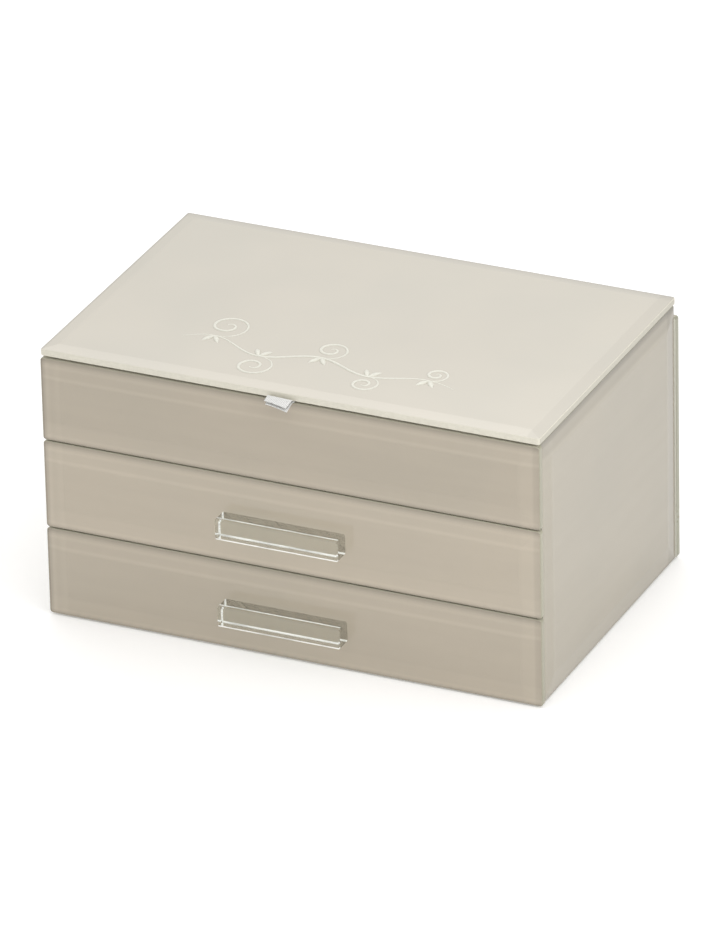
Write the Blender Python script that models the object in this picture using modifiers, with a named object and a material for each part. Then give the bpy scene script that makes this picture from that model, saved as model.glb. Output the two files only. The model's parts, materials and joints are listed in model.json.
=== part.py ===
"""Glass-clad jewellery chest: a lidded tray over two drawers.

Metres, +Z up, the front faces -Y. The origin is the centre of the underside. Fibreboard boards carry
bevelled panes of back-painted glass. The lid turns on two butt hinges at the back, and each drawer
slides out along -Y. Boards and panes that are glued together keep the clearance GAP.
"""

import math

import bmesh
import bpy
from mathutils import Vector

# Overall size
WIDTH = 0.278
DEPTH = 0.184
HEIGHT = 0.1535

# Glass
PANE = 0.0045
PANE_BEVEL = 0.0118
LID_BEVEL = 0.0075
PANE_BEVEL_DEPTH = 0.0010
PANE_CORNER = 0.0016
ARRIS = 0.0003
PANE_LIFT = 0.0010
DRAWER_PANE_HEIGHT = 0.0494
ROW_GAP = 0.0007
LID_SET_IN_FRONT = 0.0012
LID_SET_IN_BACK = 0.0050
BACK_PANE_TOP = 0.1404

# Boards
BOARD = 0.006
SHELF = 0.005
FELT = 0.0010
LINING = 0.0015
DIVIDER = 0.004
GAP = 0.0003

# Drawer boxes
DRAWER_SIDE_PLAY = 0.0008
DRAWER_FLOOR_PLAY = 0.0005
DRAWER_HEADROOM = 0.0023
DRAWER_BACK_PLAY = 0.0017
DRAWER_FRONT_BOARD = 0.005
DRAWER_WALL = 0.004
DRAWER_FLOOR = 0.003
DIVIDER_SET_DOWN = 0.004

# Handles
HANDLE = Vector((0.069, 0.010, 0.0115))
HANDLE_X = -0.003
HANDLE_DROP = 0.002
HANDLE_CHAMFER = 0.0007

# Lid
LID_BOARD_PLAY = 0.0008
LID_LINING = 0.002
LID_LINING_SIZE = (0.253, 0.157)
MIRROR = 0.002
MIRROR_SIZE = (0.204, 0.118)
TAB = Vector((0.0140, 0.0290, 0.0005))
TAB_X = -0.003
TAB_TIP = 0.0100

# Tray
ROLLS = 5
ROLL_PITCH = 0.018
ROLL_DIAMETER = 0.0176
TRAY_DIVIDER_HEIGHT = 0.028

# Hinges
HINGE_X = 0.085
HINGE_LENGTH = 0.026
END_KNUCKLE = 0.008
KNUCKLE_RADIUS = 0.0022
PIN_RADIUS = 0.0010
PIN_PLAY = 0.0001
LEAF = 0.0008
LEAF_HALF_GAP = 0.00015
SCREW_X = 0.008
SCREW_HEAD_RADIUS = 0.0020
SCREW_RADIUS = 0.0010
SCREW_LENGTH = 0.0040
SCREW_PLAY = 0.0003
ROUND_SIDES = 16

# Levels and faces that follow from them
FRONT = -DEPTH / 2
BACK = DEPTH / 2
BOARD_FRONT = FRONT + PANE + GAP
BOARD_BACK = BACK - PANE - GAP
BOARD_SIDE = WIDTH / 2 - PANE - GAP
INNER_SIDE = BOARD_SIDE - BOARD
INNER_FRONT = BOARD_FRONT + BOARD
INNER_BACK = BOARD_BACK - BOARD
LID_UNDER = HEIGHT - PANE
SKIRT_TOP = LID_UNDER - TAB.z - 2 * GAP
PIN_Y = BOARD_BACK + GAP + KNUCKLE_RADIUS
PIN_Z = BACK_PANE_TOP + GAP + KNUCKLE_RADIUS
BOARD_TOP = PIN_Z - LEAF_HALF_GAP
LID_BOARD_UNDER = PIN_Z + LEAF_HALF_GAP
BOTTOM_UNDER = FELT + GAP
BOTTOM_TOP = BOTTOM_UNDER + BOARD
LOWER_SEAM = PANE_LIFT + DRAWER_PANE_HEIGHT + ROW_GAP / 2
UPPER_SEAM = LOWER_SEAM + ROW_GAP + DRAWER_PANE_HEIGHT
TRAY_BOTTOM = UPPER_SEAM + SHELF / 2
TRAY_LINING_TOP = TRAY_BOTTOM + GAP + LINING

PAINT_LID = (0.71, 0.68, 0.59)
PAINT_SIDE = (0.62, 0.58, 0.50)
PAINT_FRONT = (0.51, 0.45, 0.37)
CLEAR_GLASS = (0.86, 0.90, 0.87)
FIBREBOARD = (0.55, 0.50, 0.42)
VELVET = (0.62, 0.55, 0.45)
FELT_GREY = (0.08, 0.08, 0.08)
RIBBON_WHITE = (0.85, 0.85, 0.83)
SILVERED = (0.90, 0.92, 0.91)
NICKEL = (0.72, 0.70, 0.66)


def clear_scene():
    for obj in list(bpy.data.objects):
        bpy.data.objects.remove(obj)


def new_collection(name):
    found = bpy.data.collections.new(name)
    bpy.context.scene.collection.children.link(found)
    return found


def finish(name, colour, roughness, metallic=0.0, transmission=0.0):
    """A Principled material, made once for each name."""
    if name in bpy.data.materials:
        return bpy.data.materials[name]
    material = bpy.data.materials.new(name)
    material.use_nodes = True
    shader = material.node_tree.nodes["Principled BSDF"]
    shader.inputs["Base Color"].default_value = (*colour, 1)
    shader.inputs["Roughness"].default_value = roughness
    shader.inputs["Metallic"].default_value = metallic
    shader.inputs["Transmission Weight"].default_value = transmission
    return material


def painted_glass(name, colour):
    return finish(name, colour, 0.08)


def fibreboard():
    return finish("fibreboard", FIBREBOARD, 0.8)


def velvet():
    return finish("velvet", VELVET, 0.95)


def nickel():
    return finish("nickel", NICKEL, 0.3, metallic=1.0)


def add_object(name, mesh, material, parent, at, turn=(0, 0, 0)):
    """Places a mesh by its world position under an unrotated parent."""
    obj = bpy.data.objects.new(name, mesh)
    PARTS.objects.link(obj)
    obj.data.materials.append(material)
    obj.parent = parent
    obj.location = Vector(at) - parent.location
    obj.rotation_euler = turn
    return obj


def add_axis(name, at):
    """An empty on a joint's axis, for the pieces of one body to hang from."""
    empty = bpy.data.objects.new(name, None)
    PARTS.objects.link(empty)
    empty.location = at
    return empty


def cube_mesh(name, size):
    mesh = bpy.data.meshes.new(name)
    shape = bmesh.new()
    bmesh.ops.create_cube(shape, size=1)
    bmesh.ops.scale(shape, vec=size, verts=shape.verts)
    shape.to_mesh(mesh)
    shape.free()
    return mesh


def cone_mesh(name, low_radius, high_radius, length):
    """A closed cone or cylinder along Z, centred on the origin."""
    mesh = bpy.data.meshes.new(name)
    shape = bmesh.new()
    bmesh.ops.create_cone(
        shape, cap_ends=True, segments=ROUND_SIDES, radius1=low_radius, radius2=high_radius, depth=length
    )
    shape.to_mesh(mesh)
    shape.free()
    return mesh


def soften(obj, width=ARRIS, segments=1):
    """Breaks the sharp edges of a board, pane or fitting."""
    bevel = obj.modifiers.new("arris", "BEVEL")
    bevel.width = width
    bevel.segments = segments
    bevel.limit_method = "ANGLE"
    bevel.angle_limit = math.radians(30)
    bevel.use_clamp_overlap = True
    return obj


def board(name, low, high, material, parent, arris=ARRIS):
    """A plain board between two corners, with its edges broken."""
    low, high = Vector(low), Vector(high)
    obj = add_object(name, cube_mesh(name, high - low), material, parent, (low + high) / 2)
    return soften(obj, arris)


def cutter(name, mesh, at, turn=(0, 0, 0)):
    obj = bpy.data.objects.new(name, mesh)
    CUTTERS.objects.link(obj)
    obj.location = at
    obj.rotation_euler = turn
    obj.hide_render = True
    obj.display_type = "WIRE"
    return obj


def combine(obj, other, operation):
    """Adds an exact Boolean ahead of the piece's other modifiers."""
    step = obj.modifiers.new(other.name, "BOOLEAN")
    step.operation = operation
    step.solver = "EXACT"
    step.object = other
    booleans = sum(modifier.type == "BOOLEAN" for modifier in obj.modifiers)
    obj.modifiers.move(len(obj.modifiers) - 1, booleans - 1)


def cut(obj, name, mesh, at, turn=(0, 0, 0)):
    combine(obj, cutter(name, mesh, at, turn), "DIFFERENCE")


def pane_mesh(name, size, bevel):
    """A glass pane in its own XY, face up, with ground bevels along all four sides of its face."""
    mesh = bpy.data.meshes.new(name)
    shape = bmesh.new()
    bmesh.ops.create_cube(shape, size=1)
    bmesh.ops.scale(shape, vec=size, verts=shape.verts)
    face = max(shape.faces, key=lambda f: f.calc_center_median().z)
    bmesh.ops.inset_region(shape, faces=[face], thickness=bevel, use_even_offset=True)
    flat = max(shape.faces, key=lambda f: f.normal.z * f.calc_area())
    rim = [v for v in shape.verts if v.co.z > 0 and v not in flat.verts]
    bmesh.ops.translate(shape, vec=(0, 0, -PANE_BEVEL_DEPTH), verts=rim)
    upright = [e for e in shape.edges if abs(e.verts[0].co.z - e.verts[1].co.z) > size[2] / 2]
    bmesh.ops.bevel(shape, geom=upright, offset=PANE_CORNER, segments=4, profile=0.5, affect="EDGES")
    bmesh.ops.recalc_face_normals(shape, faces=shape.faces)
    shape.to_mesh(mesh)
    shape.free()
    return mesh


FACING = {
    "front": (math.pi / 2, 0, 0),
    "back": (math.pi / 2, 0, math.pi),
    "right": (math.pi / 2, 0, math.pi / 2),
    "left": (math.pi / 2, 0, -math.pi / 2),
    "up": (0, 0, 0),
}


def pane(name, low, high, facing, material, parent, bevel=PANE_BEVEL):
    """A bevelled pane that fills the space between two corners, its face turned outwards."""
    low, high = Vector(low), Vector(high)
    extent = high - low
    if facing == "up":
        size = extent
    elif facing in ("front", "back"):
        size = Vector((extent.x, extent.z, extent.y))
    else:
        size = Vector((extent.y, extent.z, extent.x))
    mesh = pane_mesh(name, size, bevel)
    soften(add_object(name, mesh, material, parent, (low + high) / 2, FACING[facing]))


def front_pane(name, bottom, top, parent):
    low = (-WIDTH / 2, FRONT, bottom)
    high = (WIDTH / 2, FRONT + PANE, top)
    pane(name, low, high, "front", painted_glass("front_paint", PAINT_FRONT), parent)


def make_carcass(case):
    """The boards that carry everything, and the felt that the chest stands on."""
    across = INNER_SIDE - GAP
    behind = INNER_BACK - GAP
    felt = finish("felt", FELT_GREY, 1.0)
    edge = 2 * GAP
    board(
        "base_felt",
        (-BOARD_SIDE + edge, BOARD_FRONT + edge, 0),
        (BOARD_SIDE - edge, BOARD_BACK - edge, FELT),
        felt,
        case,
        arris=ARRIS / 2,
    )
    board(
        "case_bottom",
        (-across, BOARD_FRONT, BOTTOM_UNDER),
        (across, behind, BOTTOM_TOP),
        fibreboard(),
        case,
    )
    for side, name in ((-1, "case_side_left"), (1, "case_side_right")):
        inner, outer = sorted((side * INNER_SIDE, side * BOARD_SIDE))
        board(name, (inner, BOARD_FRONT, BOTTOM_UNDER), (outer, behind, BOARD_TOP), fibreboard(), case)
    board(
        "case_back",
        (-BOARD_SIDE, INNER_BACK, BOTTOM_UNDER),
        (BOARD_SIDE, BOARD_BACK, BOARD_TOP),
        fibreboard(),
        case,
    )
    for name, middle in (("drawer_shelf", LOWER_SEAM), ("tray_floor", UPPER_SEAM)):
        low = (-across, BOARD_FRONT, middle - SHELF / 2)
        high = (across, behind, middle + SHELF / 2)
        board(name, low, high, fibreboard(), case)
    board(
        "case_front_rail",
        (-across, BOARD_FRONT, TRAY_BOTTOM + GAP),
        (across, INNER_FRONT, BOARD_TOP),
        fibreboard(),
        case,
    )


def make_case_panes(case):
    paint = painted_glass("side_paint", PAINT_SIDE)
    for side, name, facing in ((-1, "pane_side_left", "left"), (1, "pane_side_right", "right")):
        low_x, high_x = sorted((side * (WIDTH / 2 - PANE), side * WIDTH / 2))
        low = (low_x, BOARD_FRONT, PANE_LIFT)
        high = (high_x, BOARD_BACK, SKIRT_TOP)
        pane(name, low, high, facing, paint, case)
    low = (-WIDTH / 2, BACK - PANE, PANE_LIFT)
    high = (WIDTH / 2, BACK, BACK_PANE_TOP)
    pane("pane_back", low, high, "back", paint, case)
    front_pane("pane_front_upper", UPPER_SEAM + ROW_GAP / 2, SKIRT_TOP, case)


def make_tray(case):
    """The lined tray under the lid: ring rolls on the left, two compartments on the right."""
    side = INNER_SIDE - GAP
    front = INNER_FRONT + GAP
    back = INNER_BACK - GAP
    board(
        "tray_lining",
        (-side, front, TRAY_BOTTOM + GAP),
        (side, back, TRAY_LINING_TOP),
        velvet(),
        case,
    )
    foot = TRAY_LINING_TOP + GAP
    radius = ROLL_DIAMETER / 2
    for number in range(ROLLS):
        x = -side + ROLL_PITCH * (number + 0.5)
        name = f"ring_roll_{number + 1}"
        mesh = cone_mesh(name, radius, radius, back - front)
        roll = add_object(name, mesh, velvet(), case, (x, 0, foot + radius), (math.pi / 2, 0, 0))
        roll.data.shade_smooth()
    divider_left = -side + ROLL_PITCH * ROLLS + GAP
    top = foot + TRAY_DIVIDER_HEIGHT
    board(
        "tray_divider_long",
        (divider_left, front, foot),
        (divider_left + DIVIDER, back, top),
        velvet(),
        case,
    )
    board(
        "tray_divider_cross",
        (divider_left + DIVIDER + GAP, -DIVIDER / 2, foot),
        (side, DIVIDER / 2, top),
        velvet(),
        case,
    )


def make_drawer(name, parent, pane_bottom, opening_bottom, opening_top):
    """An open box of boards behind a full-width pane, with a clear bar glued to the pane."""
    side = INNER_SIDE - DRAWER_SIDE_PLAY
    inner = side - DRAWER_WALL
    bottom = opening_bottom + DRAWER_FLOOR_PLAY
    top = opening_top - DRAWER_HEADROOM
    board_back = BOARD_FRONT + DRAWER_FRONT_BOARD
    wall_front = board_back + GAP
    end = INNER_BACK - DRAWER_BACK_PLAY
    floor_back = end - DRAWER_WALL - GAP
    floor_top = bottom + DRAWER_FLOOR
    lining_top = floor_top + GAP + LINING

    front_pane(f"{name}_pane", pane_bottom, pane_bottom + DRAWER_PANE_HEIGHT, parent)
    middle = Vector((HANDLE_X, 0, pane_bottom + DRAWER_PANE_HEIGHT / 2 - HANDLE_DROP))
    half = Vector((HANDLE.x / 2, 0, HANDLE.z / 2))
    board(
        f"{name}_handle",
        middle - half + Vector((0, FRONT - GAP - HANDLE.y, 0)),
        middle + half + Vector((0, FRONT - GAP, 0)),
        finish("clear_glass", CLEAR_GLASS, 0.02, transmission=1.0),
        parent,
        arris=HANDLE_CHAMFER,
    )
    board(
        f"{name}_front_board",
        (-side, BOARD_FRONT, bottom),
        (side, board_back, top),
        velvet(),
        parent,
    )
    for sign, label in ((-1, "left"), (1, "right")):
        low_x, high_x = sorted((sign * inner, sign * side))
        board(
            f"{name}_side_{label}",
            (low_x, wall_front, bottom),
            (high_x, end, top),
            velvet(),
            parent,
        )
    board(
        f"{name}_back",
        (-inner + GAP, end - DRAWER_WALL, bottom),
        (inner - GAP, end, top),
        velvet(),
        parent,
    )
    board(
        f"{name}_bottom",
        (-inner + GAP, wall_front, bottom),
        (inner - GAP, floor_back, floor_top),
        velvet(),
        parent,
    )
    board(
        f"{name}_lining",
        (-inner + GAP, wall_front, floor_top + GAP),
        (inner - GAP, floor_back, lining_top),
        velvet(),
        parent,
    )
    return {
        "side": inner - GAP,
        "front": wall_front,
        "back": floor_back,
        "foot": lining_top + GAP,
        "top": top - DIVIDER_SET_DOWN,
    }


def make_upper_drawer(parent):
    """Three compartments: two in front of a long divider and one behind it."""
    opening = (LOWER_SEAM + SHELF / 2, UPPER_SEAM - SHELF / 2)
    room = make_drawer("upper", parent, LOWER_SEAM + ROW_GAP / 2, *opening)
    middle = (room["front"] + room["back"]) / 2
    board(
        "upper_divider_long",
        (-room["side"], middle - DIVIDER / 2, room["foot"]),
        (room["side"], middle + DIVIDER / 2, room["top"]),
        velvet(),
        parent,
    )
    board(
        "upper_divider_cross",
        (-DIVIDER / 2, room["front"], room["foot"]),
        (DIVIDER / 2, middle - DIVIDER / 2 - GAP, room["top"]),
        velvet(),
        parent,
    )


def make_lower_drawer(parent):
    """Two large compartments side by side."""
    room = make_drawer("lower", parent, PANE_LIFT, BOTTOM_TOP, LOWER_SEAM - SHELF / 2)
    board(
        "lower_divider_cross",
        (-DIVIDER / 2, room["front"], room["foot"]),
        (DIVIDER / 2, room["back"], room["top"]),
        velvet(),
        parent,
    )


def make_lid(lid):
    """The lid's pane, the board under it, its lining with a mirror, and the ribbon tab."""
    pane(
        "lid_pane",
        (-WIDTH / 2, FRONT + LID_SET_IN_FRONT, LID_UNDER),
        (WIDTH / 2, BACK - LID_SET_IN_BACK, HEIGHT),
        "up",
        painted_glass("lid_paint", PAINT_LID),
        lid,
        LID_BEVEL,
    )
    lid_board_top = LID_UNDER - GAP
    lid_board_front = FRONT + PANE + LID_BOARD_PLAY
    side = WIDTH / 2 - PANE - LID_BOARD_PLAY
    lid_board = board(
        "lid_board",
        (-side, lid_board_front, LID_BOARD_UNDER),
        (side, BOARD_BACK, lid_board_top),
        fibreboard(),
        lid,
    )
    tip = FRONT - TAB_TIP
    board(
        "pull_tab",
        (TAB_X - TAB.x / 2, tip, lid_board_top - TAB.z),
        (TAB_X + TAB.x / 2, tip + TAB.y, lid_board_top),
        finish("ribbon", RIBBON_WHITE, 0.8),
        lid,
        arris=ARRIS / 2,
    )
    recess = Vector((TAB.x + 2 * GAP, 2 * (tip + TAB.y + GAP - lid_board_front), 2 * (TAB.z + GAP)))
    at = (TAB_X, lid_board_front, lid_board_top)
    cut(lid_board, "tab_recess", cube_mesh("tab_recess", recess), at)

    lining_top = LID_BOARD_UNDER - GAP
    lining_under = lining_top - LID_LINING
    wide, deep = LID_LINING_SIZE
    board(
        "lid_lining",
        (-wide / 2, -deep / 2, lining_under),
        (wide / 2, deep / 2, lining_top),
        velvet(),
        lid,
    )
    wide, deep = MIRROR_SIZE
    mirror_top = lining_under - GAP
    board(
        "lid_mirror",
        (-wide / 2, -deep / 2, mirror_top - MIRROR),
        (wide / 2, deep / 2, mirror_top),
        finish("mirror", SILVERED, 0.02, metallic=1.0),
        lid,
    )
    return lid_board


def make_leaf(name, x, knuckles, side, parent):
    """One leaf of a butt hinge. side is -1 for the case's leaf, under the pin's level, and 1 for the lid's.

    knuckles holds each knuckle's middle and length along the pin.
    """
    near, far = PIN_Z + side * LEAF_HALF_GAP, PIN_Z + side * (LEAF_HALF_GAP + LEAF)
    low_z, high_z = sorted((near, far))
    plate_back = PIN_Y - KNUCKLE_RADIUS - GAP
    low = Vector((x - HINGE_LENGTH / 2, INNER_BACK, low_z))
    high = Vector((x + HINGE_LENGTH / 2, plate_back, high_z))
    leaf = add_object(name, cube_mesh(name, high - low), nickel(), parent, (low + high) / 2)
    along_x = (0, math.pi / 2, 0)
    for number, (middle, length) in enumerate(knuckles):
        label = f"{name}_knuckle_{number + 1}"
        barrel = cone_mesh(label, KNUCKLE_RADIUS, KNUCKLE_RADIUS, length)
        combine(leaf, cutter(label, barrel, (x + middle, PIN_Y, PIN_Z), along_x), "UNION")
        tongue_low = Vector((x + middle - length / 2, plate_back - GAP, low_z))
        tongue_high = Vector((x + middle + length / 2, PIN_Y - PIN_RADIUS, high_z))
        tongue = cube_mesh(f"{label}_tongue", tongue_high - tongue_low)
        at = (tongue_low + tongue_high) / 2
        combine(leaf, cutter(f"{label}_tongue", tongue, at), "UNION")
    eye_radius = PIN_RADIUS + PIN_PLAY
    eye = cone_mesh(f"{name}_eye", eye_radius, eye_radius, 2 * HINGE_LENGTH)
    cut(leaf, f"{name}_eye", eye, (x, PIN_Y, PIN_Z), along_x)
    return leaf


def screw_profile(name):
    """A countersunk screw along Z, head up, its head's face at the origin."""
    curve = bpy.data.meshes.new(name)
    outline = [
        (0, 0),
        (SCREW_HEAD_RADIUS, 0),
        (SCREW_RADIUS, -LEAF - GAP / 2),
        (SCREW_RADIUS, -SCREW_LENGTH + SCREW_RADIUS),
        (0, -SCREW_LENGTH),
    ]
    shape = bmesh.new()
    points = [shape.verts.new((x, 0, z)) for x, z in outline]
    for start, end in zip(points, points[1:]):
        shape.edges.new((start, end))
    shape.to_mesh(curve)
    shape.free()
    return curve


def add_screw(name, x, side, parent, leaf, wood):
    """A screw through a leaf into a board, with its countersink and its pilot hole."""
    y = (INNER_BACK + BOARD_BACK) / 2
    face_z = PIN_Z + side * LEAF_HALF_GAP
    turn = (0, 0, 0) if side < 0 else (math.pi, 0, 0)
    head_z = face_z + side * GAP / 3
    screw = add_object(name, screw_profile(name), nickel(), parent, (x, y, head_z), turn)
    spin = screw.modifiers.new("turned", "SCREW")
    spin.steps = spin.render_steps = ROUND_SIDES
    spin.use_merge_vertices = True
    spin.merge_threshold = 0.00001
    sink_length = 2 * LEAF
    sink = cone_mesh(f"{name}_sink", SCREW_RADIUS + SCREW_PLAY, SCREW_HEAD_RADIUS + 2 * SCREW_PLAY, sink_length)
    cut(leaf, f"{name}_sink", sink, (x, y, face_z + side * LEAF / 2), turn)
    hole_radius = SCREW_RADIUS + SCREW_PLAY
    hole = cone_mesh(f"{name}_hole", hole_radius, hole_radius, 2 * (SCREW_LENGTH + GAP))
    cut(wood, f"{name}_hole", hole, (x, y, face_z))


def add_mortise(name, x, side, wood):
    """The shallow seat of a leaf, open towards the hinge."""
    y_low = INNER_BACK - GAP - BOARD
    y_high = BOARD_BACK + BOARD
    if side > 0:
        y_low = INNER_BACK - GAP
    size = Vector((HINGE_LENGTH + 2 * GAP, y_high - y_low, 2 * (LEAF + GAP)))
    cut(wood, name, cube_mesh(name, size), (x, (y_low + y_high) / 2, PIN_Z + side * LEAF_HALF_GAP))


def make_hinge(label, x, case, lid, case_back, lid_board):
    outer = (HINGE_LENGTH - END_KNUCKLE) / 2
    ends = [(-outer, END_KNUCKLE), (outer, END_KNUCKLE)]
    centre = [(0, HINGE_LENGTH - 2 * END_KNUCKLE - 2 * GAP)]
    for side, where, parent, knuckles, wood in (
        (-1, "case", case, ends, case_back),
        (1, "lid", lid, centre, lid_board),
    ):
        name = f"hinge_{label}_{where}"
        leaf = make_leaf(f"{name}_leaf", x, knuckles, side, parent)
        add_mortise(f"{name}_mortise", x, side, wood)
        for number, offset in enumerate((-SCREW_X, SCREW_X)):
            add_screw(f"{name}_screw_{number + 1}", x + offset, side, parent, leaf, wood)
    name = f"hinge_{label}_pin"
    pin = cone_mesh(name, PIN_RADIUS, PIN_RADIUS, HINGE_LENGTH)
    obj = add_object(name, pin, nickel(), case, (x, PIN_Y, PIN_Z), (0, math.pi / 2, 0))
    obj.data.shade_smooth()


def main():
    case = add_axis("case_body", (0, 0, 0))
    lid = add_axis("lid_axis", (0, PIN_Y, PIN_Z))
    upper_drawer = add_axis("upper_drawer_axis", (0, FRONT, (LOWER_SEAM + UPPER_SEAM) / 2))
    lower_drawer = add_axis("lower_drawer_axis", (0, FRONT, LOWER_SEAM / 2))
    make_carcass(case)
    make_case_panes(case)
    make_tray(case)
    make_upper_drawer(upper_drawer)
    make_lower_drawer(lower_drawer)
    lid_board = make_lid(lid)
    case_back = bpy.data.objects["case_back"]
    for label, x in (("left", -HINGE_X), ("right", HINGE_X)):
        make_hinge(label, x, case, lid, case_back, lid_board)


clear_scene()
PARTS = new_collection("jewellery_chest")
CUTTERS = new_collection("cutters")
main()
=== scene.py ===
"""The looks of the glass-clad jewellery chest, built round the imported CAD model.

Metres, +Z up, the front faces -Y. The bevelled panes, boards, mirror and hinges are the CAD's own
pieces with finished materials. The soft pieces (ring rolls, floor and lid linings, ribbon tab, base
felt) and the clear handles are made here and stand for the CAD's plain solids. The tray's wall
linings and the raised flourish on the lid are made here too, and stand for nothing in the CAD.
"""

import json
import math

import bmesh
import bpy
from mathutils import Matrix, Vector, noise


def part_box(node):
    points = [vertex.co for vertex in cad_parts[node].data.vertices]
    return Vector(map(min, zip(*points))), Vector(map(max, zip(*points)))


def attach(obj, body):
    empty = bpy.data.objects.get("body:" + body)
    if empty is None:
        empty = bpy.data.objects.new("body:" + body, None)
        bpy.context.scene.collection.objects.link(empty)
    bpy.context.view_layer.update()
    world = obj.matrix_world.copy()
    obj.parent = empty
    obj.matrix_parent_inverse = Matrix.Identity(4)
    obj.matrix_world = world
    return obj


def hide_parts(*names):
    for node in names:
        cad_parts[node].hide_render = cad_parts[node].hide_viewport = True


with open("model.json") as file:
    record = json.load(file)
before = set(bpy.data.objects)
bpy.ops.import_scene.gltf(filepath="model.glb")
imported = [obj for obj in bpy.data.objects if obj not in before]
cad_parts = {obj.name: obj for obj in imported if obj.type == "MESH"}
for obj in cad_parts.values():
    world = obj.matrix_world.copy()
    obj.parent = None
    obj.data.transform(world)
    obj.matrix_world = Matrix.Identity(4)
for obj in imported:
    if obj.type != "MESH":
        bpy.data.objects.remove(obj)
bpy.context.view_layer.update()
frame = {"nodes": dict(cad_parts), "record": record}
NODES = frame["nodes"]
SLOT_OF = {part["node"]: part["material_slot"] for part in frame["record"]["subparts"]}

# The paint behind the glass, painted lighter or darker for the light on each pane, and the ground
# edges
# One cream paint, painted lighter on the lid and darker on the side and fronts, as light and shade
PAINT_AS_LIT = {
    "lid_glass": (0.606, 0.575, 0.504),
    "side_glass": (0.394, 0.360, 0.294),
    "front_glass": (0.442, 0.392, 0.316),
}
# Painted shade: how much lighter or darker each of the three front panes is painted than the others
PANE_PAINTED_SHADE = {"pane_front_upper": 0.955, "upper_pane": 1.03, "lower_pane": 0.975}
UPRIGHT_EDGE_TINT = (0.80, 0.86, 0.80)
# Painted light: the horizontal ground edges of the front and side panes, lighter than the glass, in
# the dark seams
LEVEL_EDGE_PAINTED_LIGHT = (0.48, 0.45, 0.37)
# The lid's ground rims: painted light along the front and back, painted shade along the ends
LID_RIM_PAINTED_LIGHT = (1.07, 1.08, 1.05)
LID_END_RIM_PAINTED_SHADE = (0.80, 0.80, 0.76)
# Painted light on the panes' inner faces, where narrow strips of them show in corners that lie in
# shade
PANE_BACK_PAINTED_LIGHT = (0.80, 0.79, 0.71)
GLASS_IOR = 1.49
EDGE_ROUGHNESS = 0.22
STREAKS = (9, 9, 90)
FINE_GRIND = (300, 300, 300)

# The painted panes: the axis each one faces along, and which way
FACES = {
    "lid_pane": (2, 1),
    "pane_side_left": (0, -1),
    "pane_side_right": (0, 1),
    "pane_back": (1, 1),
    "pane_front_upper": (1, -1),
    "upper_pane": (1, -1),
    "lower_pane": (1, -1),
}

# Painted highlight and shade along each bevel, beside the flat of its pane: for each side (axis,
# sign) of the pane, rows of (millimetres in from that side, brightness). The ground slope and the
# line where it meets the flat are each painted twice, once as seen in the face and once as refracted
# onto the paint behind; the dark rows at the rims are painted shadow, and the lid's long front row
# paints its front lighter.
BEVEL_LIGHT_AND_SHADE = {
    "front_glass": {
        (2, 1): (
            (0, 0.88), (1, 0.885), (2, 0.95), (3, 1.0), (4.3, 1.03),
            (6, 1.008), (8.5, 1.008), (10.3, 1.037), (12.2, 1),
        ),
        (2, -1): (
            (0, 0.84), (0.7, 0.90), (1.6, 1.01), (3, 1.045), (4.5, 1.02), (9, 1.015), (11.8, 1),
        ),
        (0, -1): (
            (0, 0.80), (0.8, 0.84), (1.7, 0.96), (3.5, 1.018), (6, 1.0), (10, 1.014), (12, 1),
        ),
        (0, 1): ((0, 0.94), (2.6, 0.965), (4.6, 1.014), (9.4, 1.012), (11.6, 1)),
    },
    "side_glass": {
        (2, 1): (
            (0, 0.80), (1.4, 0.82), (2.6, 0.88), (4.2, 0.96),
            (8, 0.95), (9, 0.97), (10.4, 1.005), (15, 1),
        ),
        (2, -1): ((0, 0.85), (0.8, 0.92), (2.0, 0.98), (4.0, 1)),
        (1, -1): (
            (0, 0.99), (2.2, 1.0), (3.4, 1.016), (5, 1.008),
            (9, 1.006), (11, 1.012), (13, 1.01), (15, 1),
        ),
        (1, 1): ((0, 0.94), (9, 0.94), (12.4, 1)),
        (0, -1): ((0, 0.95), (2.0, 1.0), (9.0, 0.985), (10.8, 1.01), (13.0, 1)),
        (0, 1): ((0, 0.95), (2.0, 1.0), (9.0, 0.985), (10.8, 1.01), (13.0, 1)),
    },
    "lid_glass": {
        (1, -1): ((0, 1.015), (5.0, 1.012), (7.4, 1.008), (20, 1.01), (90, 1)),
        (1, 1): ((0, 0.80), (0.7, 0.86), (1.6, 0.95), (3.5, 0.965), (7.4, 1)),
        (0, -1): ((0, 0.80), (0.6, 0.85), (1.3, 0.97), (2.4, 1.0), (6.4, 0.995), (7.8, 1)),
        (0, 1): ((0, 0.965), (6.2, 0.965), (8.0, 1)),
    },
}
DISPLAY_GAMMA = 2.2
MILLIMETRE = 0.001

# Clear bar handles
CLEAR_TINT = (0.97, 0.985, 0.965)
SHADOW_TINT = (0.97, 0.98, 0.97, 1)
# Painted highlight: the white of the bar's bright chamfer lines
CHAMFER_HIGHLIGHT = (0.98, 0.98, 0.94)
HANDLE_CHAMFER = 0.0007
HANDLE_JOINT_CHAMFER = 0.0006
UNDERCUT = Vector((0, 0.0004, 0.0009))
HANDLE_BOND = 0.0003
# Which sides of the bar carry the painted highlight on their chamfers, for its left end, its length
# and its right end
HIGHLIGHTED_SIDES = ((1, 6, 7), (1, 7), (1, 7))

# Cloth and board
VELVET = (0.430, 0.360, 0.275)
FELT = (0.045, 0.045, 0.048)
LACQUER = (0.400, 0.350, 0.275)
RIBBON = (0.84, 0.84, 0.82)
PILE = 0.0003
DIVIDER_ROUNDING = 0.0012
ROUNDING_SEGMENTS = 3
WALL_LINING = 0.0005
GLUE_LINE = 0.00004
FELT_SLACK = 0.0001
MARGIN = 0.0002
PANEL_CELLS = (48, 24)
PANEL_UNEVENNESS = 0.00003

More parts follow.
